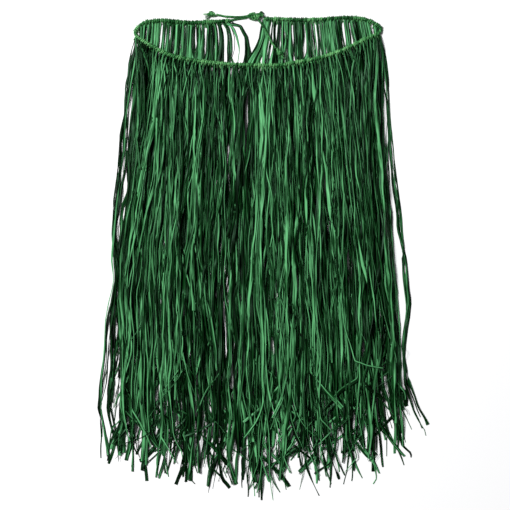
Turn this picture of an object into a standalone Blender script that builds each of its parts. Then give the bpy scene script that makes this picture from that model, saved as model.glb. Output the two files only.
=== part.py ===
"""A raffia grass skirt tied at the back and laid flat, front up, for Blender 4.5.

Metres, +Z up. The skirt lies on z = 0 with its waist towards +Y and its hem towards -Y, and the
origin is at the middle of its base. One cord goes round the waist, and its two ends are knotted
together at the centre back. The grass hangs from the cord in locks: the back ones lie on the
ground and the front ones lie on them.
"""

import math
from collections import namedtuple
from functools import partial

import bmesh
import bpy
from mathutils import Matrix, Vector

MM = 0.001

# Driving dimensions, in millimetres.
CORD_DIAMETER = 5.6
TIE_DIAMETER = 3.0
SEAM_GAP = 0.3
LOCK_RIDGE = 4.0  # thickness of a layer of grass where its blades bunch
LOCK_VALLEY = 2.8  # and between the bunches
LOCK_TIP = 2.0  # and at the ends of the blades
BACK_BASE = 0.0
FRONT_BASE = LOCK_RIDGE + SEAM_GAP
CORD_STEP = 11.0  # distance between the points of the waist cord
TIE_STEP = 7.0
CORD_BEVEL_STEPS = 2  # corners between the quarters of a cord's round
RING_SIDES = 8
RING_STEPS = 20
BLOB_SEGMENTS = 14
BLOB_RINGS = 9
TIP_SIDES = 10
MERGE_DISTANCE = 1e-4

GRASS_ROUGHNESS = 0.5
CORD_ROUGHNESS = 0.55
FRONT_GREEN = (0.030, 0.125, 0.040)
BACK_GREEN = (0.014, 0.065, 0.020)
CORD_GREEN = (0.040, 0.190, 0.055)

# The waist cord's middle, from its bare left end at the back, round the front, to its right end at
# the back. The front stretch lies on the back grass, so it climbs just past each side bend.
CordPoint = namedtuple("CordPoint", "x y z")
WAIST_BACK_LEFT = (
    CordPoint(-45.0, 355.5, 2.9),
    CordPoint(-70.5, 354.0, 2.9),
    CordPoint(-108.0, 352.5, 2.9),
    CordPoint(-142.5, 355.5, 2.9),
    CordPoint(-170.0, 353.5, 2.9),
    CordPoint(-182.0, 346.5, 2.9),
    CordPoint(-187.3, 340.0, 2.9),
)
LEFT_BEND = CordPoint(-187.5, 337.5, 3.0)
WAIST_FRONT = (
    CordPoint(-187.7, 335.0, 3.1),
    CordPoint(-183.0, 329.3, 4.9),
    CordPoint(-170.0, 321.0, 7.3),
    CordPoint(-138.0, 304.5, 7.3),
    CordPoint(-108.0, 297.0, 7.3),
    CordPoint(-79.5, 292.5, 7.3),
    CordPoint(-31.5, 288.9, 7.3),
    CordPoint(25.5, 288.0, 7.3),
    CordPoint(54.0, 292.5, 7.3),
    CordPoint(82.5, 297.5, 7.3),
    CordPoint(120.0, 309.0, 7.3),
    CordPoint(148.5, 322.5, 7.3),
    CordPoint(167.0, 331.0, 7.3),
    CordPoint(178.0, 335.6, 4.9),
    CordPoint(183.1, 339.5, 3.1),
)
RIGHT_BEND = CordPoint(183.2, 342.0, 3.0)
WAIST_BACK_RIGHT = (
    CordPoint(183.3, 344.5, 2.9),
    CordPoint(178.0, 348.5, 2.9),
    CordPoint(159.0, 357.0, 2.9),
    CordPoint(130.5, 360.0, 2.9),
    CordPoint(82.5, 357.0, 2.9),
    CordPoint(54.0, 357.0, 2.9),
    CordPoint(6.0, 358.5, 2.9),
)

# The bare left end runs on to the knot. The upper tail comes back along the top of it and then lies
# down outside the band, and the lower tail crosses the back opening onto the grass.
TIE_RUN = (
    CordPoint(-44.5, 355.7, 2.8),
    CordPoint(-39.0, 356.6, 2.0),
    CordPoint(-33.0, 357.6, 1.6),
    CordPoint(-26.0, 358.6, 1.6),
    CordPoint(-20.2, 359.4, 1.8),
)
TAIL_UPPER = (
    CordPoint(-19.9, 361.6, 4.4),
    CordPoint(-27.0, 360.7, 4.3),
    CordPoint(-35.0, 360.4, 4.0),
    CordPoint(-43.0, 361.0, 2.6),
    CordPoint(-52.0, 361.6, 1.7),
    CordPoint(-59.0, 363.0, 2.0),
    CordPoint(-65.0, 364.2, 3.2),
)
TAIL_LOWER = (
    CordPoint(-2.0, 356.7, 4.4),
    CordPoint(-0.8, 353.4, 5.2),
    CordPoint(2.4, 349.6, 5.8),
    CordPoint(5.4, 345.0, 6.0),
    CordPoint(12.0, 333.0, 6.0),
    CordPoint(18.0, 321.0, 6.2),
    CordPoint(23.6, 313.2, 7.0),
)

# The knot that joins the two ends: a long body, a bump at its right end and a loop of cord on top.
# Each has half its length, breadth and height, or the loop's radius, and its middle.
KNOT_HALF = (12.4, 4.6, 4.2)
KNOT_MIDDLE = (-7.2, 361.0, 4.3)
KNOT_TURN = 6.0
BUMP_HALF = (4.2, 3.9, 3.4)
BUMP_MIDDLE = (1.0, 364.0, 4.6)
LOOP_RADIUS = 5.0
LOOP_MIDDLE = (-12.0, 364.6, 5.0)

# Each end knot: its middle, the way its tail goes into it (degrees from +X), and its frayed tip's
# direction.
EndKnot = namedtuple("EndKnot", "name x y z turn tip_turn")
END_KNOTS = (
    EndKnot("tail_upper_knot", -73.0, 365.0, 3.8, 175.0, 212.0),
    EndKnot("tail_lower_knot", 28.9, 307.2, 7.9, 310.0, 300.0),
)
END_KNOT_HALF = (7.4, 4.9, 3.4)  # half its length, breadth and height
END_TIP_LENGTH = 6.0
END_TIP_RADII = (2.4, 0.9)
END_TIP_OVERLAP = 1.5  # how far the tip starts inside the knot
END_TIP_DROP = 0.8  # and how far it lies below the knot's middle

# The side edges of each layer of grass, from the waist to the hem: x at each y.
Edge = namedtuple("Edge", "y x")
FRONT_LEFT = (
    Edge(330.0, -185.0),
    Edge(313.0, -190.5),
    Edge(289.0, -197.5),
    Edge(241.0, -206.0),
    Edge(170.0, -215.0),
    Edge(100.0, -220.5),
    Edge(37.0, -225.0),
    Edge(-34.0, -220.0),
    Edge(-95.0, -230.0),
    Edge(-166.0, -236.0),
    Edge(-226.0, -244.0),
    Edge(-275.0, -236.0),
    Edge(-330.0, -232.0),
)
FRONT_RIGHT = (
    Edge(335.0, 176.0),
    Edge(313.0, 183.0),
    Edge(289.0, 186.0),
    Edge(241.0, 193.5),
    Edge(170.0, 199.5),
    Edge(85.0, 207.5),
    Edge(1.5, 216.0),
    Edge(-70.0, 223.5),
    Edge(-130.0, 217.0),
    Edge(-190.0, 218.0),
    Edge(-230.0, 232.0),
    Edge(-260.0, 245.0),
    Edge(-330.0, 250.0),
)
BACK_LEFT = (
    Edge(350.0, -166.0),
    Edge(325.0, -171.0),
    Edge(300.0, -186.0),
    Edge(241.0, -203.0),
    Edge(100.0, -217.0),
    Edge(-34.0, -217.0),
    Edge(-166.0, -232.0),
    Edge(-330.0, -234.0),
)
OPENING_LEFT = (
    Edge(352.0, -44.0),
    Edge(345.0, -33.0),
    Edge(330.0, -24.0),
    Edge(309.0, -19.5),
    Edge(292.0, -18.0),
    Edge(200.0, -15.0),
    Edge(-100.0, -14.0),
    Edge(-360.0, -12.0),
)
OPENING_RIGHT = (
    Edge(354.0, 5.0),
    Edge(345.0, 1.5),
    Edge(327.0, -1.5),
    Edge(309.0, -9.0),
    Edge(292.0, -16.5),
    Edge(200.0, -14.0),
    Edge(-100.0, -13.0),
    Edge(-360.0, -11.0),
)
BACK_RIGHT = (
    Edge(352.0, 158.0),
    Edge(328.0, 165.0),
    Edge(305.0, 178.0),
    Edge(241.0, 190.0),
    Edge(100.0, 204.0),
    Edge(0.0, 213.0),
    Edge(-130.0, 214.0),
    Edge(-230.0, 226.0),
    Edge(-330.0, 238.0),
)

# Locks of grass from left to right: share is the lock's share of its layer's width, and tips are the
# y of its bunches' ends. The rest is the open slit on its right: its width, and the y where it starts
# and ends.
Lock = namedtuple("Lock", "share tips slit slit_top slit_foot")
FRONT_LOCKS = (
    Lock(0.9, (-309, -300, -319), 7.0, 300, 200),
    Lock(1.0, (-300, -318, -330), 2.0, 120, -20),
    Lock(1.1, (-337, -328, -315), 3.0, 60, -100),
    Lock(1.0, (-338, -330, -345), 1.5, 250, 150),
    Lock(0.9, (-343, -338, -328), 2.5, 20, -120),
    Lock(1.1, (-348, -358, -363), 2.0, 200, 90),
    Lock(1.0, (-352, -362, -370), 6.0, 252, 130),
    Lock(1.0, (-362, -370, -364), 2.0, -10, -160),
    Lock(1.0, (-371, -352, -338), 2.5, 190, 60),
    Lock(0.9, (-332, -341, -344), 1.5, 40, -90),
    Lock(1.1, (-336, -348, -358), 3.0, 140, 10),
    Lock(1.0, (-352, -347, -340), 2.0, 230, 110),
    Lock(0.9, (-328, -322, -316), 2.5, -60, -170),
    Lock(1.1, (-330, -314, -310), 4.5, -100, -175),
    Lock(1.0, (-308, -320, -296), 6.0, 265, 130),
    Lock(0.8, (-286, -279, -272), 0.0, 0, 0),
)
BACK_LEFT_LOCKS = (
    Lock(1.0, (-296, -308), 2.0, 120, -20),
    Lock(1.1, (-318, -306), 3.0, 310, 240),
    Lock(0.9, (-322, -334), 2.0, 40, -90),
    Lock(1.0, (-330, -320), 4.0, 320, 260),
    Lock(1.1, (-338, -349), 2.0, 60, -60),
    Lock(1.0, (-352, -340), 3.0, 315, 250),
    Lock(0.9, (-344, -357), 0.0, 0, 0),
)
BACK_RIGHT_LOCKS = (
    Lock(1.0, (-360, -346), 3.0, 300, 230),
    Lock(1.1, (-336, -330), 2.0, 80, -60),
    Lock(0.9, (-342, -349), 4.0, 325, 260),
    Lock(1.0, (-340, -334), 2.0, 20, -110),
    Lock(1.0, (-322, -330), 3.0, 310, 250),
    Lock(1.1, (-312, -304), 2.0, 100, -30),
    Lock(0.9, (-309, -300), 3.0, 305, 240),
    Lock(1.0, (-284, -276), 0.0, 0, 0),
)

# The y of the rows of corners that all the locks of a layer share. Below the last, a lock's bunches
# part.
FRONT_ROWS = (255.0, 200.0, 140.0, 75.0, 5.0, -65.0, -140.0, -215.0)
BACK_ROWS = (338.0, 322.0, 306.0, 290.0, 230.0, 150.0, 60.0, -30.0, -120.0, -215.0)
TOP_PASSES = 6  # rounds that settle where a slanting line meets the cord
BUNCH_ROWS = 3  # rows from where the bunches part to their ends
BUNCH_TAPER = 0.72  # how much of its breadth a bunch has lost at its end
BUNCH_DRIFT = 0.25  # how far its end strays sideways, as a share of its breadth
BUNCH_TURNS = (1.9, 0.05)  # which way it strays: radians a bunch, and radians a millimetre of its end's y
SWAY = 2.2  # sideways wave of the parting lines
SWAY_LENGTH = 190.0
SWAY_SHIFT = 0.37  # of a wave, from each parting line to the next


def smooth_points(route, step):
    """Points about one step apart on a smooth curve through the route."""
    points = [Vector(p) for p in route]
    padded = [2 * points[0] - points[1], *points, 2 * points[-1] - points[-2]]
    found = []
    for before, start, end, after in zip(padded, padded[1:], padded[2:], padded[3:]):
        count = max(1, round((end - start).length / step))
        for i in range(count):
            t = i / count
            found.append(
                0.5
                * (
                    2 * start
                    + (end - before) * t
                    + (2 * before - 5 * start + 4 * end - after) * t**2
                    + (3 * start - 3 * end + after - before) * t**3
                )
            )
    return [*found, points[-1]]


def at_height(edge, y):
    """The x of a side edge at one y, straight between its rows."""
    rows = sorted(edge)
    if y <= rows[0].y:
        return rows[0].x
    for low, high in zip(rows, rows[1:]):
        if y <= high.y:
            t = (y - low.y) / (high.y - low.y)
            return low.x + (high.x - low.x) * t
    return rows[-1].x


def below_cord(points, x):
    """The y just clear of a stretch of waist cord, on its hem side, at one x."""
    across = sorted(points, key=lambda p: p.x)[1:-1]
    x = min(max(x, across[0].x), across[-1].x)
    for low, high in zip(across, across[1:]):
        if x <= high.x:
            break
    slope = (high.y - low.y) / (high.x - low.x)
    clear = (CORD_DIAMETER / 2 + SEAM_GAP) * math.hypot(1.0, slope)
    return low.y + slope * (x - low.x) - clear


def paint(obj, colour, roughness):
    """A dyed raffia material of the object's own."""
    material = bpy.data.materials.new(obj.name + "_raffia")
    material.use_nodes = True
    surface = material.node_tree.nodes["Principled BSDF"]
    surface.inputs["Base Color"].default_value = (*colour, 1.0)
    surface.inputs["Roughness"].default_value = roughness
    surface.inputs["Metallic"].default_value = 0.0
    obj.data.materials.append(material)


def add_object(name, data, parent):
    obj = bpy.data.objects.new(name, data)
    bpy.context.scene.collection.objects.link(obj)
    obj.parent = parent
    return obj


def add_cord(name, points, diameter, parent):
    """A round cord through the points, with closed ends."""
    curve = bpy.data.curves.new(name, "CURVE")
    curve.dimensions = "3D"
    curve.bevel_depth = diameter / 2 * MM
    curve.bevel_resolution = CORD_BEVEL_STEPS
    curve.use_fill_caps = True
    spline = curve.splines.new("POLY")
    spline.points.add(len(points) - 1)
    for place, point in zip(spline.points, points):
        place.co = (*(point * MM), 1.0)
    spline.use_smooth = True
    paint(add_object(name, curve, parent), CORD_GREEN, CORD_ROUGHNESS)


def trimmed(points, from_start, from_end):
    """The points with each end drawn back along its last segment."""
    first = points[0] + (points[1] - points[0]).normalized() * from_start
    last = points[-1] + (points[-2] - points[-1]).normalized() * from_end
    return [first, *points[1:-1], last]


def add_waist(parent):
    """The cord once round the waist, as the three stretches that show, and each stretch's points."""
    route = (*WAIST_BACK_LEFT, LEFT_BEND, *WAIST_FRONT, RIGHT_BEND, *WAIST_BACK_RIGHT)
    points = smooth_points(route, CORD_STEP)
    left = min(range(len(points)), key=lambda i: (points[i] - Vector(LEFT_BEND)).length)
    right = min(range(len(points)), key=lambda i: (points[i] - Vector(RIGHT_BEND)).length)
    stretches = {
        "waist_cord_back_left": trimmed(points[: left + 1], 0.0, SEAM_GAP / 2),
        "waist_cord_front": trimmed(points[left : right + 1], SEAM_GAP / 2, SEAM_GAP / 2),
        "waist_cord_back_right": trimmed(points[right:], SEAM_GAP / 2, 0.0),
    }
    for name, stretch in stretches.items():
        add_cord(name, stretch, CORD_DIAMETER, parent)
    return stretches


def add_blob(name, half_sizes, place, parent):
    """A rounded body of the given half sizes, turned and placed by a matrix, its mesh in place."""
    mesh = bpy.data.meshes.new(name)
    form = bmesh.new()
    bmesh.ops.create_uvsphere(form, u_segments=BLOB_SEGMENTS, v_segments=BLOB_RINGS, radius=1.0)
    bmesh.ops.transform(form, verts=form.verts, matrix=place @ Matrix.Diagonal((*half_sizes, 1.0)))
    form.to_mesh(mesh)
    form.free()
    mesh.shade_smooth()
    return add_object(name, mesh, parent)


def add_ring(name, radius, thickness, place, parent):
    """A closed loop of cord, its mesh in place."""
    mesh = bpy.data.meshes.new(name)
    form = bmesh.new()
    side = bmesh.ops.create_circle(form, segments=RING_SIDES, radius=thickness / 2)["verts"]
    turn = Matrix.Translation((radius, 0.0, 0.0)) @ Matrix.Rotation(math.radians(90), 4, "X")
    bmesh.ops.transform(form, verts=side, matrix=turn)
    bmesh.ops.spin(
        form,
        geom=form.edges[:],
        axis=(0.0, 0.0, 1.0),
        cent=(0.0, 0.0, 0.0),
        angle=math.tau,
        steps=RING_STEPS,
        use_merge=True,
    )
    bmesh.ops.remove_doubles(form, verts=form.verts, dist=MERGE_DISTANCE)
    bmesh.ops.recalc_face_normals(form, faces=form.faces)
    bmesh.ops.transform(form, verts=form.verts, matrix=place)
    form.to_mesh(mesh)
    form.free()
    mesh.shade_smooth()
    return add_object(name, mesh, parent)


def add_frayed_tip(name, place, parent):
    """The short tuft of cut blades past an end knot."""
    mesh = bpy.data.meshes.new(name)
    form = bmesh.new()
    bmesh.ops.create_cone(
        form,
        cap_ends=True,
        segments=TIP_SIDES,
        radius1=END_TIP_RADII[0] * MM,
        radius2=END_TIP_RADII[1] * MM,
        depth=END_TIP_LENGTH * MM,
    )
    bmesh.ops.transform(form, verts=form.verts, matrix=place)
    form.to_mesh(mesh)
    form.free()
    mesh.shade_smooth()
    return add_object(name, mesh, parent)


def join_bodies(body, others):
    """Unites the other bodies with the first by Booleans and hides them."""
    for other in others:
        other.hide_render = True
        other.display_type = "WIRE"
        union = body.modifiers.new("union_" + other.name, "BOOLEAN")
        union.operation = "UNION"
        union.solver = "EXACT"
        union.object = other


def place_at(x, y, z, turn=0.0):
    return Matrix.Translation(Vector((x, y, z)) * MM) @ Matrix.Rotation(math.radians(turn), 4, "Z")


def in_metres(sizes):
    return tuple(size * MM for size in sizes)


def add_tie(parent):
    """The bare end, the knot that joins both ends, and the two free tails with a knot on each."""
    add_cord("tie_run_left", smooth_points(TIE_RUN, TIE_STEP), TIE_DIAMETER, parent)
    add_cord("tail_upper", smooth_points(TAIL_UPPER, TIE_STEP), TIE_DIAMETER, parent)
    add_cord("tail_lower", smooth_points(TAIL_LOWER, TIE_STEP), TIE_DIAMETER, parent)

    knot = add_blob("tie_knot", in_metres(KNOT_HALF), place_at(*KNOT_MIDDLE, KNOT_TURN), parent)
    bump = add_blob("tie_knot_bump", in_metres(BUMP_HALF), place_at(*BUMP_MIDDLE), parent)
    loop = add_ring(
        "tie_knot_loop",
        LOOP_RADIUS * MM,
        TIE_DIAMETER * MM,
        place_at(*LOOP_MIDDLE),
        parent,
    )
    join_bodies(knot, (bump, loop))
    paint(knot, CORD_GREEN, CORD_ROUGHNESS)

    reach = END_KNOT_HALF[0] + END_TIP_LENGTH / 2 - END_TIP_OVERLAP
    lay = Matrix.Rotation(math.radians(90), 4, "Y")
    for row in END_KNOTS:
        place = place_at(row.x, row.y, row.z, row.turn)
        body = add_blob(row.name, in_metres(END_KNOT_HALF), place, parent)
        tip_x = row.x + reach * math.cos(math.radians(row.tip_turn))
        tip_y = row.y + reach * math.sin(math.radians(row.tip_turn))
        tip_place = place_at(tip_x, tip_y, row.z - END_TIP_DROP, row.tip_turn) @ lay
        tip = add_frayed_tip(row.name + "_tip", tip_place, parent)
        join_bodies(body, (tip,))
        paint(body, CORD_GREEN, CORD_ROUGHNESS)


def parting_line(edges, share, number, y):
    """The x of the line between two locks: its share across the layer, with a slow sideways wave."""
    low, high = (at_height(edge, y) for edge in edges)
    wave = SWAY * math.sin(math.tau * (y / SWAY_LENGTH + SWAY_SHIFT * number))
    inside = math.sin(math.pi * share)
    return low + (high - low) * share + wave * inside


def slit_half(lock, y):
    """Half the open width beside a lock at one y: the seam gap, and more along its slit."""
    if lock is None or lock.slit == 0.0:
        return SEAM_GAP / 2
    t = (lock.slit_top - y) / (lock.slit_top - lock.slit_foot)
    if t <= 0.0 or t >= 1.0:
        return SEAM_GAP / 2
    return SEAM_GAP / 2 + lock.slit / 2 * math.sin(math.pi * t)


def lock_corners(lines, rows, lock, before, cord):
    """Each bunch's rows of (left x, left y, right x, right y, past), from the cord to the bunch's end.

    past goes from 0 where the bunches part to 1 at their ends.
    """
    line_left, line_right = lines
    bunches = len(lock.tips)

    def across(y, bunch):
        left = line_left(y) + slit_half(before, y)
        width = (line_right(y) - slit_half(lock, y) - left) / bunches
        return left + width * bunch, left + width * (bunch + 1)

    found = []
    for bunch, tip in enumerate(lock.tips):
        tops = [rows[0], rows[0]]
        for _ in range(TOP_PASSES):
            tops = [below_cord(cord, across(y, bunch)[side]) for side, y in enumerate(tops)]
        down = [(across(tops[0], bunch)[0], tops[0], across(tops[1], bunch)[1], tops[1], 0.0)]
        for y in rows:
            left, right = across(y, bunch)
            down.append((left, y, right, y, 0.0))
        for row in range(1, BUNCH_ROWS + 1):
            past = row / BUNCH_ROWS
            y = rows[-1] + (tip - rows[-1]) * past
            left, right = across(y, bunch)
            width = right - left
            stray = math.sin(BUNCH_TURNS[0] * bunch + BUNCH_TURNS[1] * tip)
            middle = (left + right) / 2 + width * BUNCH_DRIFT * past * stray
            half = width / 2 * (1.0 - BUNCH_TAPER * past)
            down.append((middle - half, y, middle + half, y, past))
        found.append(down)
    return found


def add_lock(name, bunches, base, colour, parent):
    """One lock: a ridged wall of grass with a flat underside, whose bunches part near the hem."""
    mesh = bpy.data.meshes.new(name)
    form = bmesh.new()
    known = {}

    def corner(x, y, z):
        """A vertex, which neighbouring bunches share above where they part."""
        key = (round(x, 4), round(y, 4), round(z, 4))
        if key not in known:
            known[key] = form.verts.new(Vector((x, y, z)) * MM)
        return known[key]

    def section(left, left_y, right, right_y, past):
        ridge = base + LOCK_RIDGE + (LOCK_TIP - LOCK_RIDGE) * past
        valley = base + LOCK_VALLEY + (LOCK_TIP - LOCK_VALLEY) * past
        return (
            corner(left, left_y, base),
            corner(right, right_y, base),
            corner(right, right_y, valley),
            corner((left + right) / 2, (left_y + right_y) / 2, ridge),
            corner(left, left_y, valley),
        )

    for number, down in enumerate(bunches):
        rings = [section(*row) for row in down]
        for upper, lower, (*_, past) in zip(rings, rings[1:], down[1:]):
            form.faces.new((upper[0], upper[1], lower[1], lower[0]))
            form.faces.new((upper[3], upper[4], lower[4], lower[3]))
            form.faces.new((upper[2], upper[3], lower[3], lower[2]))
            if past or number == 0:
                form.faces.new((upper[4], upper[0], lower[0], lower[4]))
            if past or number == len(bunches) - 1:
                form.faces.new((upper[1], upper[2], lower[2], lower[1]))
        form.faces.new(rings[-1])
        form.faces.new(tuple(reversed(rings[0])))
    bmesh.ops.recalc_face_normals(form, faces=form.faces)
    form.to_mesh(mesh)
    form.free()
    paint(add_object(name, mesh, parent), colour, GRASS_ROUGHNESS)


# A layer of grass: the name and colour of its locks, the side edges and rows of corners they share,
# the waist cord it hangs from and the height it lies at.
Layer = namedtuple("Layer", "prefix locks edges rows cord base colour")
LAYERS = (
    Layer(
        prefix="front_lock",
        locks=FRONT_LOCKS,
        edges=(FRONT_LEFT, FRONT_RIGHT),
        rows=FRONT_ROWS,
        cord="waist_cord_front",
        base=FRONT_BASE,
        colour=FRONT_GREEN,
    ),
    Layer(
        prefix="back_left_lock",
        locks=BACK_LEFT_LOCKS,
        edges=(BACK_LEFT, OPENING_LEFT),
        rows=BACK_ROWS,
        cord="waist_cord_back_left",
        base=BACK_BASE,
        colour=BACK_GREEN,
    ),
    Layer(
        prefix="back_right_lock",
        locks=BACK_RIGHT_LOCKS,
        edges=(OPENING_RIGHT, BACK_RIGHT),
        rows=BACK_ROWS,
        cord="waist_cord_back_right",
        base=BACK_BASE,
        colour=BACK_GREEN,
    ),
)


def add_layer(layer, cord, parent):
    """One layer of grass hung from a stretch of cord, as locks side by side between its side edges."""
    total = sum(lock.share for lock in layer.locks)
    before = None
    done = 0.0
    for number, lock in enumerate(layer.locks, 1):
        lines = (
            partial(parting_line, layer.edges, done / total, number),
            partial(parting_line, layer.edges, (done + lock.share) / total, number + 1),
        )
        bunches = lock_corners(lines, layer.rows, lock, before, cord)
        add_lock(f"{layer.prefix}_{number:02d}", bunches, layer.base, layer.colour, parent)
        before = lock
        done += lock.share


def main():
    for obj in list(bpy.data.objects):
        bpy.data.objects.remove(obj, do_unlink=True)
    skirt = add_object("skirt", None, None)
    cords = add_waist(skirt)
    add_tie(skirt)
    for layer in LAYERS:
        add_layer(layer, cords[layer.cord], skirt)


main()
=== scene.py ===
import math

import bpy
import numpy as np
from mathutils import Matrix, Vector


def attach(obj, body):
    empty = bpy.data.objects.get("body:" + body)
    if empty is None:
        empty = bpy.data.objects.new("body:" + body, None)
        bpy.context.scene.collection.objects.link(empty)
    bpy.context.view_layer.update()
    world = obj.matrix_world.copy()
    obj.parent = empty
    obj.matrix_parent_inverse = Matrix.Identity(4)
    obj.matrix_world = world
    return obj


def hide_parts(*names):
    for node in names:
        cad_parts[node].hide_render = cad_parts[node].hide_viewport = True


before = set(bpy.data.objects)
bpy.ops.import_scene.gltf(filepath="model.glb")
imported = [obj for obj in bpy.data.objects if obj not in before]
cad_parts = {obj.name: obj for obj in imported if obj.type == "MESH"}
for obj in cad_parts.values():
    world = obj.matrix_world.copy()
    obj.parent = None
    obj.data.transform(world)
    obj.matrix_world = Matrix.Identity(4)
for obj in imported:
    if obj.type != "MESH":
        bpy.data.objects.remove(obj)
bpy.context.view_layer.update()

# ---- The table, the light and the camera ----
# The skirt lies flat on a pale matt table. A soft lamp stands to its upper left, the pale
# studio fills the shadows a little, and the camera looks straight down on the middle.
MM = 0.001
scene = bpy.context.scene
scene.view_settings.view_transform = "Standard"

CAMERA_HEIGHT = 2.4
VIEW_MIDDLE = (-7.5 * MM, 3.0 * MM)
# The view is this wide at the height of the middle of the grass.
VIEW_WIDTH = 0.765
GRASS_HEIGHT = 6.0 * MM

camera_data = bpy.data.cameras.new("camera")
camera_data.sensor_width = 36.0
camera_data.lens = camera_data.sensor_width * (CAMERA_HEIGHT - GRASS_HEIGHT) / VIEW_WIDTH
camera = bpy.data.objects.new("camera", camera_data)
camera.location = (*VIEW_MIDDLE, CAMERA_HEIGHT)
scene.collection.objects.link(camera)
scene.camera = camera


def add_lamp(name, place, target, side, watts):
    """A square area lamp at place, turned towards target."""
    data = bpy.data.lights.new(name, "AREA")
    data.size = side
    data.energy = watts
    lamp = bpy.data.objects.new(name, data)
    lamp.location = place
    lamp.rotation_euler = (Vector(target) - Vector(place)).to_track_quat("-Z", "Y").to_euler()
    scene.collection.objects.link(lamp)
    return lamp


add_lamp("key_lamp", (-2.7, 1.65, 4.5), target=(0.0, 0.0, 0.0), side=1.5, watts=388.0)

world = bpy.data.worlds.new("studio")
world.use_nodes = True
studio_air = world.node_tree.nodes["Background"]
studio_air.inputs["Color"].default_value = (0.97, 0.98, 1.0, 1.0)
studio_air.inputs["Strength"].default_value = 0.13
scene.world = world

TABLE_HALF = 6.0
table_mesh = bpy.data.meshes.new("table")
table_mesh.from_pydata(
    [(x * TABLE_HALF, y * TABLE_HALF, 0.0) for x, y in ((-1, -1), (1, -1), (1, 1), (-1, 1))],
    [],
    [(0, 1, 2, 3)],
)
table = bpy.data.objects.new("table", table_mesh)
table_paint = bpy.data.materials.new("table_paint")
table_paint.use_nodes = True
table_shader = table_paint.node_tree.nodes["Principled BSDF"]
table_shader.inputs["Base Color"].default_value = (0.96, 0.96, 0.965, 1.0)
table_shader.inputs["Roughness"].default_value = 0.9
table_shader.inputs["Specular IOR Level"].default_value = 0.1
table_mesh.materials.append(table_paint)
scene.collection.objects.link(table)


# ---- The waist cord ----
# One cord of three twisted plies of dyed raffia holds the grass. It runs along the front and
# turns back at both sides, and its two ends stop short of each other at the back opening.
# The hitches round the cord take up some of its thickness, so its plies are drawn as this core.
CORD_DIAMETER = 5.6
CORE_DIAMETER = CORD_DIAMETER - 1.2
CORD_LAY = 15.0
CORD_STEP = 1.6
# A ply's radius as a share of its cord's diameter, and the corners of its section.
PLY_SHARE = 0.27
PLY_CORNERS = 8
FRONT_ROUTE = (
    (-187.5, 337.4, 3.0), (-187.7, 335.0, 3.1), (-183.0, 329.3, 4.9), (-170.0, 321.0, 7.3),
    (-138.0, 304.5, 7.3), (-108.0, 297.0, 7.3), (-79.5, 292.5, 7.3), (-31.5, 288.9, 7.3),
    (25.5, 288.0, 7.3), (54.0, 292.5, 7.3), (82.5, 297.5, 7.3), (120.0, 309.0, 7.3),
    (148.5, 322.5, 7.3),
    (167.0, 331.0, 7.3), (176.5, 335.2, 4.9), (181.0, 338.9, 3.1),
    (181.4, 341.4, 3.0),
)
BACK_LEFT_ROUTE = (
    (-45.0, 355.5, 2.9), (-70.5, 354.0, 2.9), (-108.0, 352.5, 2.9), (-142.5, 355.5, 2.9),
    (-170.0, 353.5, 2.9), (-182.0, 346.5, 2.9), (-187.3, 340.0, 2.9),
    (-187.5, 337.6, 3.0),
)
BACK_RIGHT_ROUTE = (
    (181.4, 341.6, 3.0), (181.2, 343.8, 2.9), (176.5, 348.3, 2.9), (159.0, 357.0, 2.9),
    (130.5, 360.0, 2.9),
    (82.5, 357.0, 2.9), (54.0, 357.0, 2.9), (6.0, 358.5, 2.9),
)


def smooth_route(points, step):
    """Points a step apart, in millimetres, on the smooth curve through these points."""
    pieces_between = 24
    p = np.array(points, float)
    p = np.vstack([2 * p[0] - p[1], p, 2 * p[-1] - p[-2]])
    t = np.linspace(0.0, 1.0, pieces_between, endpoint=False)[:, None]
    runs = []
    for a, b, c, d in zip(p[:-3], p[1:-2], p[2:-1], p[3:]):
        runs.append(
            0.5 * (2 * b + (c - a) * t + (2 * a - 5 * b + 4 * c - d) * t**2
                   + (3 * b - a - 3 * c + d) * t**3)
        )
    fine = np.vstack(runs + [p[-2:-1]])
    along = np.concatenate([[0.0], np.cumsum(np.linalg.norm(np.diff(fine, axis=0), axis=1))])
    stations = np.linspace(0.0, along[-1], max(2, round(along[-1] / step)) + 1)
    return np.stack([np.interp(stations, along, fine[:, k]) for k in range(3)], axis=1)


def line_mesh(name, lines, closed=False, **values):
    """A mesh of one chain of edges for each line, in metres, with a named value at each point."""
    mesh = bpy.data.meshes.new(name)
    edges = []
    start = 0
    for line in lines:
        edges += [(start + i, start + i + 1) for i in range(len(line) - 1)]
        if closed:
            edges.append((start + len(line) - 1, start))
        start += len(line)
    mesh.from_pydata((np.vstack(lines) * MM).tolist(), edges, [])
    for key, value in values.items():
        mesh.attributes.new(key, "FLOAT", "POINT").data.foreach_set("value", np.ravel(value))
    return mesh


def new_tree(name, sizes):
    """A Geometry Nodes tree with a geometry input and these named sizes: (label, kind, value)."""
    tree = bpy.data.node_groups.new(name, "GeometryNodeTree")
    tree.interface.new_socket("Geometry", in_out="INPUT", socket_type="NodeSocketGeometry")
    for label, kind, value in sizes:
        socket = tree.interface.new_socket(label, in_out="INPUT", socket_type="NodeSocket" + kind)
        if value is not None:
            socket.default_value = value
    tree.interface.new_socket("Geometry", in_out="OUTPUT", socket_type="NodeSocketGeometry")
    tree.nodes.new("NodeGroupInput")
    return tree


def add_node(tree, kind, inputs=None, **settings):
    """A node with these settings, each input linked to an output or set to a value."""
    node = tree.nodes.new(kind)
    for key, value in settings.items():
        setattr(node, key, value)
    for key, value in (inputs or {}).items():
        if isinstance(value, bpy.types.NodeSocket):
            tree.links.new(value, node.inputs[key])
        else:
            node.inputs[key].default_value = value
    return node


def size_of(tree, label):
    """The tree's own input of this name."""
    return next(n for n in tree.nodes if n.bl_idname == "NodeGroupInput").outputs[label]


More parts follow.
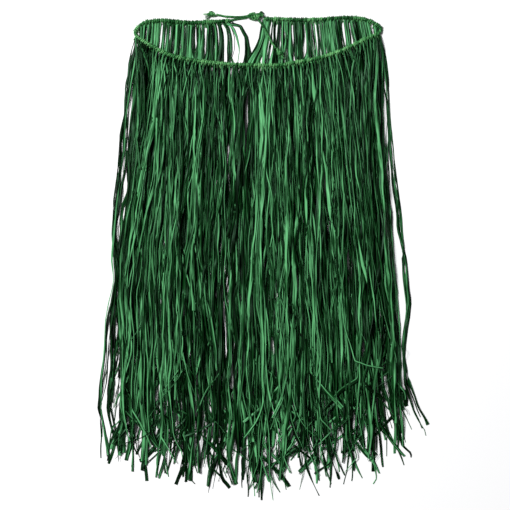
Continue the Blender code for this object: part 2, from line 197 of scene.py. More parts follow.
def sum_of(tree, operation, a, b=None):
    """The result of one arithmetic step on numbers."""
    inputs = {0: a} if b is None else {0: a, 1: b}
    return add_node(tree, "ShaderNodeMath", inputs, operation=operation).outputs[0]


def vector_of(tree, operation, a, b=None, scale=None):
    """The result of one arithmetic step on vectors."""
    inputs = {0: a}
    if b is not None:
        inputs[1] = b
    if scale is not None:
        inputs["Scale"] = scale
    return add_node(tree, "ShaderNodeVectorMath", inputs, operation=operation).outputs[0]


def value_of(tree, name, kind="FLOAT"):
    """The named value that each point carries."""
    node = add_node(tree, "GeometryNodeInputNamedAttribute", {"Name": name}, data_type=kind)
    return node.outputs["Attribute"]


def keep_value(tree, geometry, name, value, kind="FLOAT"):
    """The geometry with this value stored at each of its points."""
    node = add_node(
        tree,
        "GeometryNodeStoreNamedAttribute",
        {"Geometry": geometry, "Name": name, "Value": value},
        data_type=kind,
        domain="POINT",
    )
    return node.outputs["Geometry"]


def end_tree(tree, geometry):
    """Closes the tree: smooth faces, real copies and the material."""
    smooth = add_node(tree, "GeometryNodeSetShadeSmooth", {"Geometry": geometry})
    real = add_node(tree, "GeometryNodeRealizeInstances", {"Geometry": smooth.outputs[0]})
    dressed = add_node(
        tree,
        "GeometryNodeSetMaterial",
        {"Geometry": real.outputs[0], "Material": size_of(tree, "Material")},
    )
    out = tree.nodes.new("NodeGroupOutput")
    tree.links.new(dressed.outputs[0], out.inputs[0])


def made_with(tree, name, mesh, **sizes):
    """The tree's result on this mesh as a plain object at the origin."""
    source = bpy.data.objects.new(name + "_line", mesh)
    scene.collection.objects.link(source)
    modifier = source.modifiers.new("make", "NODES")
    modifier.node_group = tree
    for item in tree.interface.items_tree:
        key = item.name.lower().replace(" ", "_")
        if item.in_out == "INPUT" and key in sizes:
            modifier[item.identifier] = sizes[key]
    graph = bpy.context.evaluated_depsgraph_get()
    result = bpy.data.meshes.new_from_object(source.evaluated_get(graph), depsgraph=graph)
    bpy.data.objects.remove(source)
    result.name = name
    made = bpy.data.objects.new(name, result)
    scene.collection.objects.link(made)
    return made


def cord_frame(tree, geometry):
    """The geometry with the direction across its line and the one over it kept at each point."""
    tangent = add_node(tree, "GeometryNodeInputTangent").outputs[0]
    across = vector_of(tree, "NORMALIZE", vector_of(tree, "CROSS_PRODUCT", tangent, (0.0, 0.0, 1.0)))
    geometry = keep_value(tree, geometry, "side", across, "FLOAT_VECTOR")
    over = vector_of(tree, "CROSS_PRODUCT", value_of(tree, "side", "FLOAT_VECTOR"), tangent)
    return keep_value(tree, geometry, "over", over, "FLOAT_VECTOR")


def round_section(tree, corners, radius):
    """A round section, with how far across it each corner lies."""
    ring = add_node(
        tree, "GeometryNodeCurvePrimitiveCircle", {"Resolution": corners, "Radius": radius}
    ).outputs[0]
    place = add_node(tree, "GeometryNodeInputPosition").outputs[0]
    parts = add_node(tree, "ShaderNodeSeparateXYZ", {0: place}).outputs
    return keep_value(tree, ring, "across", sum_of(tree, "DIVIDE", parts[0], radius))


def sweep(tree, line, section):
    """The section drawn along the line, closed at both ends."""
    inputs = {"Curve": line, "Profile Curve": section, "Fill Caps": True}
    return add_node(tree, "GeometryNodeCurveToMesh", inputs).outputs[0]


def laid_cord_tree():
    """Sweeps round plies that twist about the line."""
    tree = new_tree(
        "laid cord",
        (
            ("Plies", "Int", 3),
            ("Ply radius", "Float", 0.001),
            ("Twist radius", "Float", 0.001),
            ("Lay", "Float", 0.01),
            ("Material", "Material", None),
        ),
    )
    line = add_node(tree, "GeometryNodeMeshToCurve", {0: size_of(tree, "Geometry")}).outputs[0]
    line = cord_frame(tree, line)
    length = add_node(tree, "GeometryNodeSplineParameter").outputs["Length"]
    line = keep_value(tree, line, "along", length)
    copies = add_node(
        tree,
        "GeometryNodeDuplicateElements",
        {"Geometry": line, "Amount": size_of(tree, "Plies")},
        domain="SPLINE",
    )
    share = sum_of(tree, "DIVIDE", copies.outputs["Duplicate Index"], size_of(tree, "Plies"))
    plies = keep_value(tree, copies.outputs["Geometry"], "strand", share)
    turns = sum_of(tree, "DIVIDE", value_of(tree, "along"), size_of(tree, "Lay"))
    angle = sum_of(tree, "MULTIPLY", sum_of(tree, "ADD", turns, value_of(tree, "strand")), math.tau)
    ply_way = []
    for turn, direction in (("COSINE", "side"), ("SINE", "over")):
        reach = sum_of(tree, "MULTIPLY", sum_of(tree, turn, angle), size_of(tree, "Twist radius"))
        way = value_of(tree, direction, "FLOAT_VECTOR")
        ply_way.append(vector_of(tree, "SCALE", way, scale=reach))
    offset = vector_of(tree, "ADD", *ply_way)
    plies = add_node(
        tree, "GeometryNodeSetPosition", {"Geometry": plies, "Offset": offset}
    ).outputs[0]
    tubes = sweep(tree, plies, round_section(tree, PLY_CORNERS, size_of(tree, "Ply radius")))
    end_tree(tree, tubes)
    return tree


def raffia(name, dark, middle, light, streak, fold_shade, gloss):
    """Dyed raffia: fine fibre lines along the strip, uneven dye from strip to strip, a satin skin.

    dark, middle and light are the dye's colours from the worst dyed strip to the best, and where a
    painted shade lowers the level they stand for shade too. streak is how strongly the fibres show,
    the fold value how strongly a painted shade and highlight mark the lengthwise folds, and gloss
    the roughness of the skin.
    """
    material = bpy.data.materials.new(name)
    material.use_nodes = True
    tree = material.node_tree
    shader = tree.nodes["Principled BSDF"]

    def point_value(label):
        return add_node(tree, "ShaderNodeAttribute", attribute_name=label).outputs["Fac"]

    places = [point_value(label) for label in ("across", "along", "strand")]

    def patches(across, along, strand, detail):
        """Noise with so many patches across a strip and in each metre of it, new on each strip."""
        scaled = {
            axis: sum_of(tree, "MULTIPLY", place, times)
            for axis, (place, times) in enumerate(zip(places, (across, along, strand)))
        }
        place = add_node(tree, "ShaderNodeCombineXYZ", scaled).outputs[0]
        noise = {"Vector": place, "Scale": 1.0, "Detail": detail}
        return add_node(tree, "ShaderNodeTexNoise", noise).outputs["Fac"]

    fibres = patches(2.6, 14.0, 371.0, 3.0)
    blotches = patches(0.35, 32.0, 97.0, 4.0)
    # Sharp patches of painted shade and highlight, as on the two sides of a lengthwise fold.
    fold_shade_patches = patches(1.5, 17.0, 211.0, 0.0)
    fold_shade_patches = add_node(
        tree, "ShaderNodeMapRange", {"Value": fold_shade_patches, "From Min": 0.44, "From Max": 0.56}
    ).outputs[0]
    # The strip's own dye, which in the grass also carries a painted shade on the strips lying lower
    # in the pile, moved up and down by the fibres and by slow blotches along it. A painted shade and
    # highlight follow the lengthwise folds: one side of each fold is painted darker, the other
    # lighter.
    level = point_value("dye")
    for noise, strength in ((fibres, streak), (blotches, 1.0), (fold_shade_patches, fold_shade)):
        change = sum_of(tree, "MULTIPLY", sum_of(tree, "SUBTRACT", noise, 0.5), strength)
        level = sum_of(tree, "ADD", level, change)
    ramp = add_node(tree, "ShaderNodeValToRGB", {"Fac": level})
    stops = ramp.color_ramp.elements
    stops[0].position = 0.0
    stops[0].color = (*dark, 1.0)
    stops[1].position = 1.0
    stops[1].color = (*light, 1.0)
    half = stops.new(0.5)
    half.color = (*middle, 1.0)
    tree.links.new(ramp.outputs["Color"], shader.inputs["Base Color"])
    rough = add_node(
        tree, "ShaderNodeMapRange", {"Value": fibres, "To Min": gloss - 0.1, "To Max": gloss + 0.16}
    ).outputs[0]
    tree.links.new(rough, shader.inputs["Roughness"])
    bump = add_node(tree, "ShaderNodeBump", {"Height": fibres, "Strength": 0.35, "Distance": 0.0004})
    tree.links.new(bump.outputs[0], shader.inputs["Normal"])
    shader.inputs["Specular IOR Level"].default_value = 0.17
    shader.inputs["Specular Tint"].default_value = (0.45, 1.0, 0.6, 1.0)
    return material


cord_raffia = raffia(
    "cord_raffia",
    dark=(0.002, 0.022, 0.004),
    middle=(0.026, 0.175, 0.044),
    light=(0.2, 0.52, 0.2),
    streak=1.7,
    fold_shade=0.5,
    gloss=0.42,
)
laid_cord = laid_cord_tree()


def add_laid_cord(name, points, diameter, lay, dye, closed=False):
    """A three-ply cord of this diameter along the points, in millimetres."""
    mesh = line_mesh(name, [points], closed, dye=np.full(len(points), dye))
    ply = diameter * PLY_SHARE
    return made_with(
        laid_cord,
        name,
        mesh,
        plies=3,
        ply_radius=ply * MM,
        twist_radius=(diameter / 2 - ply) * MM,
        lay=lay * MM,
        material=cord_raffia,
    )


def put_in_place(piece, slot, *nodes):
    """Fixes a finished piece to the skirt's one body, in place of these CAD nodes."""
    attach(piece, "root")
    if nodes:
        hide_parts(*nodes)


# The back parts of this one cord get less dye than the front part: a painted shade on the back parts,
# which lie lower on the table.
for name, route, dye in (
    ("waist_cord_front", FRONT_ROUTE, 0.6),
    ("waist_cord_back_left", BACK_LEFT_ROUTE, 0.42),
    ("waist_cord_back_right", BACK_RIGHT_ROUTE, 0.42),
):
    line = smooth_route(route, CORD_STEP)
    waist = add_laid_cord(name + "_plies", line, CORE_DIAMETER, CORD_LAY, dye)
    put_in_place(waist, "waist_cord", name)


# ---- The tie ----
# Thinner cord of the same raffia closes the back: a bare end off the left band, a lumpy
# knot that joins it to the right band, and two free tails, each ending in a knot and a tuft.
TIE_DIAMETER = 3.0
TIE_LAY = 8.0
TIE_STEP = 1.0
# The hollows between a tail's plies make it measure thinner than the circle round them.
TAIL_ROUND = TIE_DIAMETER + 0.3
TIE_RUN = (
    (-44.5, 355.7, 2.8), (-39.0, 356.6, 2.0), (-33.0, 357.6, 1.6), (-26.0, 358.6, 1.6),
    (-20.2, 359.4, 1.8),
)
TAIL_UPPER = (
    (-19.9, 361.6, 4.4), (-27.0, 360.7, 4.3), (-35.0, 360.4, 4.0), (-43.0, 361.0, 2.6),
    (-52.0, 361.6, 1.7), (-59.0, 363.0, 2.0), (-65.0, 364.2, 3.2),
)
TAIL_LOWER = (
    (-2.0, 356.7, 4.4), (-0.8, 353.4, 5.2), (2.4, 349.6, 5.8), (5.4, 345.0, 6.0),
    (12.0, 333.0, 6.0), (18.0, 321.0, 6.2), (23.6, 313.2, 7.0),
)

tie_run = add_laid_cord("tie_run", smooth_route(TIE_RUN, TIE_STEP), TIE_DIAMETER, TIE_LAY, 0.48)
put_in_place(tie_run, "tie_cord", "tie_run_left")


def turned_about(line, middle, turn):
    """The line turned by so many degrees about the upright axis and moved to this middle."""
    c, s = math.cos(math.radians(turn)), math.sin(math.radians(turn))
    return line @ np.array([[c, s, 0.0], [-s, c, 0.0], [0.0, 0.0, 1.0]]) + np.array(middle)


def knot_line(middle, half, turn, count=72):
    """The closed line of an overhand knot of these half sizes, turned about the upright axis."""
    t = np.linspace(0.0, math.tau, count, endpoint=False)
    line = np.stack(
        [np.sin(t) + 2 * np.sin(2 * t), np.cos(t) - 2 * np.cos(2 * t), -np.sin(3 * t)], axis=1
    )
    line *= np.array(half) / np.abs(line).max(axis=0)
    return turned_about(line, middle, turn)


def wrap_line(middle, radius, spread, turns, turn, count=20):
    """A line that winds round the axis of a knot, from one end of spread to the other."""
    t = np.linspace(0.0, 1.0, int(turns * count))
    a = t * turns * math.tau
    line = np.stack([(t - 0.5) * spread, radius * np.cos(a), radius * 0.85 * np.sin(a)], axis=1)
    return turned_about(line, middle, turn)


def joined(name, parts):
    """One object of all these parts' meshes."""
    with bpy.context.temp_override(
        active_object=parts[0], selected_editable_objects=parts, selected_objects=parts
    ):
        bpy.ops.object.join()
    parts[0].name = name
    parts[0].data.name = name
    return parts[0]


# The tie knot is two overhand knots, each with a wrap round it.
first_knot = knot_line((-8.0, 361.0, 4.6), half=(11.4, 3.9, 2.4), turn=6.0)
first_wrap = wrap_line((-7.0, 361.2, 4.6), radius=3.2, spread=12.0, turns=3.2, turn=8.0)
second_knot = knot_line((1.0, 363.9, 4.8), half=(4.0, 3.6, 2.0), turn=40.0, count=48)
second_wrap = wrap_line((-12.0, 364.6, 5.2), radius=4.2, spread=2.8, turns=1.8, turn=100.0)
tie_knot = joined(
    "tie_knot_turns",
    [
        add_laid_cord("first_knot", first_knot, 4.0, 9.0, 0.42, closed=True),
        add_laid_cord("first_wrap", first_wrap, 3.0, 7.0, 0.56),
        add_laid_cord("second_knot", second_knot, 3.0, 7.0, 0.36, closed=True),
        add_laid_cord("second_wrap", second_wrap, 2.8, 7.0, 0.46),
    ],
)
put_in_place(tie_knot, "tie_cord", "tie_knot")

# Each tail runs through its end knot, and a short tuft of loose raffia comes out of the knot.
# For each: its route, the middle of its end knot, and which way the knot and the tuft point.
TAILS = {
    "tail_upper": (TAIL_UPPER, (-73.0, 365.0, 3.9), 175.0, 212.0),
    "tail_lower": (TAIL_LOWER, (28.9, 307.2, 7.9), 310.0, 300.0),
}
TUFT_HAIRS = 9
TUFT_SPREAD = 34.0
tuft_rng = np.random.default_rng(5)


def tuft_hair(middle, tuft_turn):
    """One loose end of raffia out of the knot at middle."""
    way = math.radians(tuft_turn + tuft_rng.uniform(-TUFT_SPREAD, TUFT_SPREAD))
    reach = tuft_rng.uniform(7.5, 12.5)
    t = np.linspace(0.15, 1.0, 8)[:, None]
    end = np.array([math.cos(way), math.sin(way), tuft_rng.uniform(-0.25, 0.1)]) * reach
    bend = tuft_rng.normal(0.0, 0.7, 3) * (1.0, 1.0, 0.4)
    line = np.array(middle) + end * t + bend * (t * (1 - t)) * 4
    diameter = tuft_rng.uniform(0.7, 1.3)
    return add_laid_cord("hair", line, diameter, 6.0, tuft_rng.uniform(0.3, 0.9))


for name, (route, middle, turn, tuft_turn) in TAILS.items():
    line = smooth_route(route, TIE_STEP)
    tail = add_laid_cord(name + "_plies", line, TAIL_ROUND, TIE_LAY, 0.42)
    put_in_place(tail, "tie_cord", name)
    end_knot = knot_line(middle, half=(5.6, 3.2, 1.8), turn=turn)
    end_wrap = wrap_line(middle, radius=2.6, spread=3.0, turns=1.7, turn=turn)
    parts = [
        add_laid_cord("end_knot", end_knot, 3.0, 8.0, 0.46, closed=True),
        add_laid_cord("end_wrap", end_wrap, 2.6, 7.0, 0.6),
    ]
    parts += [tuft_hair(middle, tuft_turn) for _ in range(TUFT_HAIRS)]
    knot = joined(name + "_knot_turns", parts)
    put_in_place(knot, "tie_cord", name + "_knot")


# ---- The hitches ----
# The grass is tied to the cord with raffia hitches side by side all along it. Each goes round
# the cord twice, and its two legs open in a V below the cord over the heads of the strips.
HITCH_LINE = (
    (-2.4, -8.0, -3.6), (-2.2, -6.4, -2.6), (-1.9, -4.6, -0.6), (-1.7, -2.8, 1.9), (-1.2, -0.6, 2.75),
    (-0.5, 1.5, 2.4), (-0.1, 2.8, 0.4), (0.0, 2.2, -1.7), (0.1, -0.3, -2.6), (0.3, -2.5, -1.2),
    (0.3, -3.2, 0.4), (0.5, -2.2, 2.1), (1.1, 0.0, 2.85), (1.9, 1.8, 2.1), (2.2, 2.8, 0.2),
    (2.1, 2.0, -1.8), (1.8, -0.5, -2.6), (1.7, -2.9, -1.0), (2.0, -4.6, -0.8), (2.4, -6.4, -2.4),
    (2.8, -8.0, -3.6),
)
HITCH_PITCH = 5.6
HITCH_RADIUS = 0.75
HITCH_CORNERS = 6
# Where the cord lies on the table the turns are pressed flat, this far above it.
TABLE_GAP = 0.2


def hitch_tree():
    """Sets a copy of the hitch at every pitch along the cord's line, each a little different."""
    tree = new_tree(
        "hitches",
        (
            ("Hitch", "Object", None),
            ("Pitch", "Float", 0.0056),
            ("Radius", "Float", 0.0008),
            ("Seed", "Int", 0),
            ("Dye", "Float", 0.8),
            ("Material", "Material", None),
        ),
    )
    shape = add_node(tree, "GeometryNodeObjectInfo", {0: size_of(tree, "Hitch")})
    turns = add_node(tree, "GeometryNodeMeshToCurve", {0: shape.outputs["Geometry"]}).outputs[0]
    length = add_node(tree, "GeometryNodeSplineParameter").outputs["Length"]
    turns = keep_value(tree, turns, "along", length)
    tube = sweep(tree, turns, round_section(tree, HITCH_CORNERS, size_of(tree, "Radius")))
    line = add_node(tree, "GeometryNodeMeshToCurve", {0: size_of(tree, "Geometry")}).outputs[0]
    spots = add_node(
        tree,
        "GeometryNodeResampleCurve",
        {"Curve": line, "Length": size_of(tree, "Pitch")},
        mode="LENGTH",
    ).outputs[0]
    tangent = add_node(tree, "GeometryNodeInputTangent").outputs[0]
    way = add_node(tree, "ShaderNodeSeparateXYZ", {0: tangent}).outputs

    def chance_between(low, high, kind="FLOAT"):
        inputs = {"Min": low, "Max": high, "Seed": size_of(tree, "Seed")}
        return add_node(tree, "FunctionNodeRandomValue", inputs, data_type=kind).outputs["Value"]

    lean = chance_between(-0.2, 0.2)
    turn = sum_of(tree, "ADD", sum_of(tree, "ARCTAN2", way[1], way[0]), lean)
    rotation = add_node(tree, "ShaderNodeCombineXYZ", {2: turn}).outputs[0]
    growth = chance_between((0.85, 0.74, 0.86), (1.15, 1.1, 0.96), "FLOAT_VECTOR")
    copies = add_node(
        tree,
        "GeometryNodeInstanceOnPoints",
        {"Points": spots, "Instance": tube, "Rotation": rotation, "Scale": growth},
    ).outputs[0]
    chance = chance_between(0.0, 1.0)
    for name, value in (
        ("strand", chance),
        ("dye", sum_of(tree, "ADD", size_of(tree, "Dye"), sum_of(tree, "MULTIPLY", chance, 0.6))),
    ):
        copies = add_node(
            tree,
            "GeometryNodeStoreNamedAttribute",
            {"Geometry": copies, "Name": name, "Value": value},
            data_type="FLOAT",
            domain="INSTANCE",
        ).outputs[0]
    end_tree(tree, copies)
    return tree


hitch_mesh = line_mesh("hitch_line", [smooth_route(HITCH_LINE, 2.1)])
hitch = bpy.data.objects.new("hitch_line", hitch_mesh)
scene.collection.objects.link(hitch)
hitches = hitch_tree()
# The back rows run the other way along their routes, which turns their legs to the grass.
# The back rows get far less dye than the front row, though all are of the one raffia: a painted shade
# on the lower-lying back hitches.
for name, route, row_span, dye, seed in (
    ("hitches_front", FRONT_ROUTE, slice(5, -5), 0.42, 3),
    ("hitches_back_left", BACK_LEFT_ROUTE, slice(-2, 2, -1), 0.12, 5),
    ("hitches_back_right", BACK_RIGHT_ROUTE, slice(-4, 2, -1), 0.12, 8),
):
    row = made_with(
        hitches,
        name,
        line_mesh(name + "_line", [smooth_route(route, CORD_STEP)[row_span]]),
        hitch=hitch,
        pitch=HITCH_PITCH * MM,
        radius=HITCH_RADIUS * MM,
        seed=seed,
        dye=dye,
        material=cord_raffia,
    )
    for corner in row.data.vertices:
        corner.co.z = max(corner.co.z, TABLE_GAP * MM)
    put_in_place(row, "waist_cord")
bpy.data.objects.remove(hitch)


# ---- The grass ----
# Long strips of dyed raffia hang from the hitches, eight or nine to each in front and three to
# five behind. They lie as they fell, the back grass on the table and the front grass on that, and
# each has its own width, arch and slow twist, is cut at its own length and bends at the hem.

# The sides of the grass, each as (y, x): the outer line that a few loose strips follow in front,
# the body of the front grass inside it, and the back grass on both sides of the opening.
OUTER_LEFT = (
    (330.0, -184.0), (313.0, -187.0), (289.0, -192.5), (241.0, -201.5), (170.0, -210.5),
    (100.0, -217.0), (37.0, -224.0), (-34.0, -218.0), (-95.0, -227.0), (-166.0, -234.0),
    (-226.0, -243.0), (-275.0, -236.0), (-330.0, -232.0),
)
OUTER_RIGHT = (
    (335.0, 177.0), (313.0, 183.0), (289.0, 186.5), (241.0, 193.0), (170.0, 198.0),
    (85.0, 206.0), (1.5, 215.0), (-70.0, 221.0), (-130.0, 216.0), (-190.0, 217.0),
    (-230.0, 230.0), (-260.0, 243.0), (-330.0, 248.0),
)
BODY_LEFT = (
    (330.0, -178.0), (302.0, -180.0), (254.0, -181.0), (206.0, -184.0), (110.0, -193.0),
    (62.0, -198.0), (14.0, -204.0), (-58.0, -209.0), (-130.0, -206.0), (-250.0, -208.0),
    (-330.0, -219.0),
)
BODY_RIGHT = (
    (335.0, 174.0), (302.0, 174.5), (254.0, 175.0), (206.0, 178.0), (110.0, 185.0),
    (62.0, 189.0), (-34.0, 196.0), (-82.0, 199.0), (-130.0, 202.0), (-200.0, 203.0),
    (-330.0, 216.0),
)
BACK_LEFT = (
    (350.0, -176.0), (325.0, -178.0), (300.0, -181.0), (241.0, -185.0), (100.0, -196.0),
    (-34.0, -210.0), (-166.0, -207.0), (-330.0, -214.0),
)
OPENING_LEFT = (
    (352.0, -44.0), (345.0, -33.0), (330.0, -24.0), (309.0, -19.5), (292.0, -18.0),
    (200.0, -15.0), (-100.0, -14.0), (-360.0, -12.0),
)
OPENING_RIGHT = (
    (354.0, 5.0), (345.0, 1.5), (327.0, -1.5), (309.0, -9.0), (292.0, -16.5),
    (200.0, -14.0), (-100.0, -13.0), (-360.0, -11.0),
)
BACK_RIGHT = (
    (352.0, 168.0), (328.0, 173.0), (305.0, 177.0), (241.0, 178.0), (100.0, 188.0),
    (0.0, 196.0), (-130.0, 204.0), (-230.0, 202.0), (-330.0, 212.0),
)
# The line of the lowest tips, from left to right: (x, y).
HEM_LINE = (
    (-245.0, -285.0), (-229.5, -312.0), (-208.0, -322.0), (-180.0, -332.0), (-141.0, -341.0),
    (-110.0, -350.0), (-79.0, -360.0), (-36.0, -369.0), (5.0, -370.5), (39.0, -352.0),
    (62.0, -348.0), (84.0, -360.0), (108.0, -347.0), (147.0, -332.0), (190.0, -322.0),
    (216.0, -284.0), (249.0, -270.0),
)
LOWEST_TIP = min(y for _, y in HEM_LINE)
# Each strip is worked out at points this far apart.
STEP = 1.25
THICKNESS = 0.28


def at(edge, y):
    """The x of an edge of the grass at each y."""
    rows = np.array(edge)[::-1]
    return np.interp(y, rows[:, 0], rows[:, 1])


def slow_wave(rng, count, length, wavelength, sharp=1.0):
    """Smooth chance values about 0 along count strips, one row each, about 1 at their largest.

    Over 1, sharp makes them stand still and then change within a short stretch, as at a crease.
    """
    stations = int(length / wavelength) + 4
    knots = rng.normal(0.0, 0.55, (count, stations))
    place = np.arange(0.0, length, STEP) / wavelength + rng.uniform(0.0, 1.0, (count, 1))
    low = place.astype(int)
    t = np.clip((place - low - 0.5) * sharp + 0.5, 0.0, 1.0)
    t = t * t * (3 - 2 * t)
    row = np.arange(count)[:, None]
    return knots[row, low] * (1 - t) + knots[row, np.minimum(low + 1, stations - 1)] * t


def ease(t):
    """0 to 1 with soft ends."""
    t = np.clip(t, 0.0, 1.0)
    return t * t * (3 - 2 * t)


def strip_lengths(rng, heads, stray, short_share):
    """How long each strip is, and whether it is one of the short ones."""
    count = len(heads)
    tip = np.interp(heads[:, 0] * 1.2, *np.array(HEM_LINE).T)
    above = np.abs(rng.normal(0.0, 56.0, count)) + rng.exponential(44.0, count)
    short = (rng.random(count) < short_share) & ~stray
    above[short] = rng.uniform(110.0, 430.0, short.sum())
    above[~short] = np.maximum(above[~short] - 12.0, 0.0)
    above[stray] = rng.uniform(0.0, 40.0, stray.sum())
    return (heads[:, 1] - (tip + above)) * rng.uniform(0.995, 1.012, count), short


def hem_bends(rng, left_over, straight):
    """How far each strip turns aside near its cut end, and how loose it lies, at each point.

    left_over is the length from each point to the cut end. About a third bend strongly, one in four
    is kinked, and the straight ones do neither.
    """
    count, steps = left_over.shape
    bend_length = rng.uniform(50.0, 170.0, count)
    bend = rng.normal(0.0, 0.14, count)
    strong = rng.random(count) < 0.3
    bend[strong] = np.clip(rng.normal(0.0, 0.42, strong.sum()), -0.75, 0.75)
    bend[straight] *= 0.3
    hem = ease(1.0 - left_over / bend_length[:, None]) * bend[:, None]
    kink_at = rng.uniform(8.0, 90.0, count)
    kink = rng.choice([-1.0, 1.0], count) * rng.uniform(0.3, 1.0, count)
    kink[(rng.random(count) > 0.26) | straight] = 0.0
    hem += ease((kink_at[:, None] - left_over) / 5.0 + 0.5) * kink[:, None]
    loose = ease(1.0 - left_over / 200.0)
    hem += loose * 0.12 * slow_wave(rng, count, steps * STEP, 30.0)
    return hem, loose


def strip_plans(rng, heads, ways, edges, pull, strays, fan_start, short_share, leaning):
    """The plan of each strip: its points every STEP, and how many of them it has.

    heads are the (x, y) where the strips leave the cord, and ways their directions there. edges are
    the two sides of this grass, and pull is how closely only the strips beside each edge follow it.
    strays is how many of the first and of the last strips hang outside, along the outer line.
    fan_start is how far below the cord the strips begin to open out, short_share the share of them
    that end well above the hem, and leaning how far a strip leans from its place.
    """
    count = len(heads)
    stray_left = np.arange(count) < strays[0]
    stray_right = np.arange(count) >= count - strays[1]
    stray = stray_left | stray_right

    def sides(y):
        low = np.where(stray_left, at(OUTER_LEFT, y), at(edges[0], y))
        high = np.where(stray_right, at(OUTER_RIGHT, y), at(edges[1], y))
        return low, high

    # No strip is longer than this, with its curves.
    longest = 1.08 * (heads[:, 1].max() - LOWEST_TIP)
    steps = int(longest / STEP)
    length, short = strip_lengths(rng, heads, stray, short_share)
    length = np.clip(length, 120.0, (steps - 4) * STEP)
    s = np.arange(steps) * STEP

    lean = rng.normal(0.0, leaning, count)
    crossing = rng.random(count) < 0.2
    lean[crossing] = rng.normal(0.0, 0.06, crossing.sum())
    waves = np.zeros((count, steps))
    for size, wavelength, sharp in ((0.05, 120.0, 1.0), (0.11, 44.0, 6.0), (0.08, 21.0, 2.5)):
        waves += size * slow_wave(rng, count, steps * STEP, wavelength, sharp)
    # Some strips are crinkled as well.
    waves += 0.07 * rng.random((count, 1)) ** 2 * slow_wave(rng, count, steps * STEP, 9.0)
    spread = rng.normal(0.0, 0.2, count)
    hem, loose = hem_bends(rng, length[:, None] - s[None, :], short | stray)

    # The strips go down step by step. Each spreads with the sides of the grass, opens out below its
    # hitch, keeps its own lean and waves, and turns back where it would leave the grass.
    x, y = heads[:, 0].copy(), heads[:, 1].copy()
    points = np.empty((count, steps, 2))
    for i in range(steps):
        points[:, i, 0] = x
        points[:, i, 1] = y
        low, high = sides(y)
        low_next, high_next = sides(y - STEP)
        share = np.clip((x - low) / (high - low), -0.05, 1.05)
        inner = np.clip(share, 0.0, 1.0)
        fan = (1 - inner) ** pull[0] * (low_next - low) + inner ** pull[1] * (high_next - high)
        inward = -0.012 * np.clip(x - high + 4.0, 0.0, 30.0)
        inward += 0.012 * np.clip(low + 4.0 - x, 0.0, 30.0)
        start = np.exp(-np.maximum(s[i] - fan_start, 0.0) / 32.0)
        open_out = spread * start * ease((s[i] - fan_start) / 14.0 + 0.2)
        calm = ease(s[i] / (fan_start + 25.0))
        free = 1.0 - hem[:, i] ** 2 / (hem[:, i] ** 2 + 0.05)
        turn = fan / STEP + open_out + lean * calm + waves[:, i] * (0.25 + 0.75 * calm)
        room = np.clip(np.where(ways < 0, x - low, high - x) / 40.0, 0.0, 1.0)
        turn = turn + hem[:, i] + inward * free + ways * room * np.exp(-s[i] / 30.0)
        outside = 5.0 + 9.0 * loose[:, i]
        turn = np.where(x < low - outside, np.maximum(turn, 0.03), turn)
        turn = np.where(x > high + outside, np.minimum(turn, -0.03), turn)
        x = x + STEP * np.sin(turn)
        y = y - STEP * np.cos(turn)
    used = np.minimum((length / STEP).astype(int), steps - 1)
    return points, used


# A gap moves the strips aside within this distance of its middle line.
GAP_REACH = 16.0


def open_gaps(points, used, gaps):
    """Moves the strips apart along each gap, so that what lies under them shows through it.

    A gap is a list of (x, y, half width) down its middle line. A strip stays on its own side.
    """
    for gap in gaps:
        rows = np.array(gap)[::-1]
        for strip, last in zip(points, used):
            y = strip[:last, 1]
            beside = (y > rows[0, 1]) & (y < rows[-1, 1])
            if not beside.any():
                continue
            middle = np.interp(y, rows[:, 1], rows[:, 0])
            half = np.where(beside, np.interp(y, rows[:, 1], rows[:, 2]), 0.0)
            away = strip[:last, 0] - middle
            side = 1.0 if np.mean(away[beside]) > 0 else -1.0
            if np.abs(away[beside]).min() > GAP_REACH:
                continue
            out = np.maximum(side * away, 0.0)
            inside = out < GAP_REACH
            moved = np.where(inside, half + out * (GAP_REACH - half) / GAP_REACH, out)
            held = ease(half / 1.5)
            strip[:last, 0] = middle + (side * moved) * held + away * (1 - held)


NARROWEST = 0.7
WIDEST = 11.5
WIDEST_TIP = 6.0


